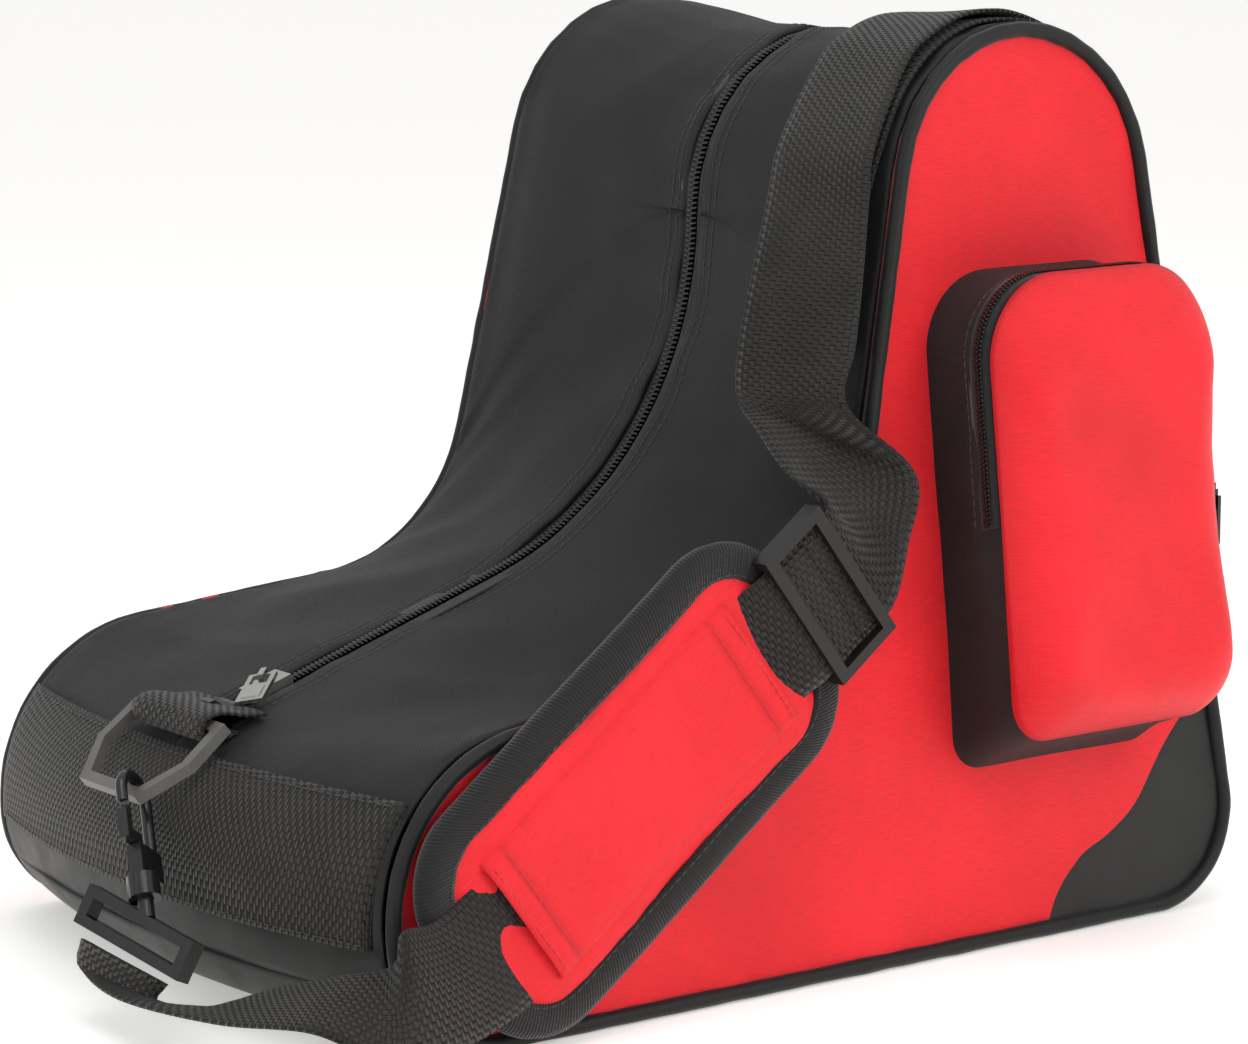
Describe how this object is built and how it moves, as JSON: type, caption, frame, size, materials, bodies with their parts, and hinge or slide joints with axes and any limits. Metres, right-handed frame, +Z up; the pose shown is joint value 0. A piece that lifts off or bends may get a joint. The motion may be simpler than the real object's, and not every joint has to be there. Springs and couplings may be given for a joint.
{
  "type": "skate bag",
  "caption": "Boot-shaped padded carrying bag with a zip over its top, a zipped side pocket, and a webbing shoulder strap with pad, adjuster, snap hooks and D-rings.",
  "frame": {"origin": "on the floor under the bag's middle plane, 205 mm behind the toe seam", "axes": "+X to the heel, -Y to the pocket side, +Z up"},
  "size_m": [0.4869, 0.3232, 0.362],
  "materials": {
    "nylon_black": "matte woven nylon",
    "nylon_red": "satin woven nylon",
    "webbing_black": "coarse woven webbing",
    "binding_black": "ribbed binding",
    "vinyl_black": "smooth coated vinyl",
    "zip_tape_black": "fine woven tape",
    "zip_coil_black": "glossy nylon coil",
    "slider_bright": "polished zinc",
    "slider_black": "gloss enamel",
    "ring_grey": "satin moulded",
    "hook_black": "gloss moulded",
    "board_black": "plain sheet"
  },
  "bodies": {
    "bag": {"gusset_near": "nylon_black", "gusset_far": "nylon_black", "toe_panel": "vinyl_black", "back_panel": "nylon_black", "base_panel": "vinyl_black", "base_board": "board_black", "side_panel_near": "nylon_red", "side_panel_far": "nylon_red", "toe_webbing_band": "webbing_black", "piping_near": "binding_black", "piping_far": "binding_black", "heel_patch_near": "vinyl_black", "heel_patch_far": "vinyl_black", "zip_tape_near": "zip_tape_black", "zip_tape_far": "zip_tape_black", "zip_coil_near": "zip_coil_black", "zip_coil_far": "zip_coil_black", "pocket_gusset": "nylon_black", "pocket_front": "nylon_red", "pocket_zip_tape": "zip_tape_black", "pocket_zip_coil": "zip_coil_black", "dring_loop_front": "webbing_black", "dring_loop_rear": "webbing_black", "strap_lower": "webbing_black", "strap_upper": "webbing_black", "strap_tail": "webbing_black", "hook_base_front": "hook_black", "hook_base_rear": "hook_black", "end_slider": "slider_black"},
    "dring_front": {"dring_front": "ring_grey"},
    "dring_rear": {"dring_rear": "ring_grey"},
    "hook_front": {"hook_front": "hook_black"},
    "hook_rear": {"hook_rear": "hook_black"},
    "gate_front": {"hook_gate_front": "hook_black"},
    "gate_rear": {"hook_gate_rear": "hook_black"},
    "zip_slider": {"zip_slider": "slider_bright"},
    "zip_pull": {"zip_pull": "slider_bright"},
    "end_pull": {"end_pull": "slider_black"},
    "pocket_slider": {"pocket_slider": "slider_black"},
    "pocket_pull": {"pocket_pull": "slider_black"},
    "strap_adjuster": {"strap_adjuster": "ring_grey"},
    "shoulder_pad": {"shoulder_pad": "nylon_red", "pad_binding": "binding_black", "pad_sleeve": "nylon_red"}
  },
  "joints": [
    {"name": "front_ring_tilt", "type": "hinge", "parent": "bag", "child": "dring_front", "pos_m": [-0.205, 0, 0.1029], "axis": [0, 1, 0], "range_deg": [-2, 2]},
    {"name": "rear_ring_tilt", "type": "hinge", "parent": "bag", "child": "dring_rear", "pos_m": [0.21092, 0, 0.136], "axis": [0, 1, 0], "range_deg": [-2, 2]},
    {"name": "front_hook_swivel", "type": "hinge", "parent": "bag", "child": "hook_front", "pos_m": [-0.23394, -0.015, 0.07933], "axis": [0.2499, 0.5866, 0.7703], "range_deg": [-8, 8]},
    {"name": "rear_hook_swivel", "type": "hinge", "parent": "bag", "child": "hook_rear", "pos_m": [0.21452, 0, 0.17332], "axis": [-0.0941, 0.2323, -0.9681], "range_deg": [-8, 8]},
    {"name": "front_hook_gate", "type": "hinge", "parent": "hook_front", "child": "gate_front", "pos_m": [-0.24032, -0.02634, 0.06693], "axis": [-0.5851, 0.7254, -0.3626], "range_deg": [0, 20], "stiffness_Nm_per_rad": 0.02, "springref_deg": -11.46},
    {"name": "rear_hook_gate", "type": "hinge", "parent": "hook_rear", "child": "gate_rear", "pos_m": [0.21868, -0.00413, 0.19031], "axis": [0.0225, 0.9726, 0.2312], "range_deg": [0, 20], "stiffness_Nm_per_rad": 0.02, "springref_deg": -11.46},
    {"name": "main_zip_slide", "type": "slide", "parent": "bag", "child": "zip_slider", "axis": [0.9496, 0, 0.3134], "range_m": [0, 0.105]},
    {"name": "main_pull_swing", "type": "hinge", "parent": "zip_slider", "child": "zip_pull", "pos_m": [-0.16818, 0, 0.11415], "axis": [-0.6104, 0.766, -0.2014], "range_deg": [0, 140]},
    {"name": "end_pull_swing", "type": "hinge", "parent": "bag", "child": "end_pull", "pos_m": [-0.19192, 0, 0.10632], "axis": [-0.9496, 0, -0.3134], "range_deg": [0, 140]},
    {"name": "pocket_zip_slide", "type": "slide", "parent": "bag", "child": "pocket_slider", "axis": [0.0565, 0.0554, 0.9969], "range_m": [0, 0.045]},
    {"name": "pocket_pull_swing", "type": "hinge", "parent": "pocket_slider", "child": "pocket_pull", "pos_m": [0.16768, -0.15765, 0.16929], "axis": [0, -0.9985, 0.0555], "range_deg": [0, 140]},
    {"name": "strap_adjust", "type": "slide", "parent": "bag", "child": "strap_adjuster", "axis": [0.809, 0.0326, 0.5869], "range_m": [-0.008, 0.007]},
    {"name": "pad_slide", "type": "slide", "parent": "bag", "child": "shoulder_pad", "axis": [0.809, 0.0326, 0.5869], "range_m": [-0.004, 0.003]}
  ]
}
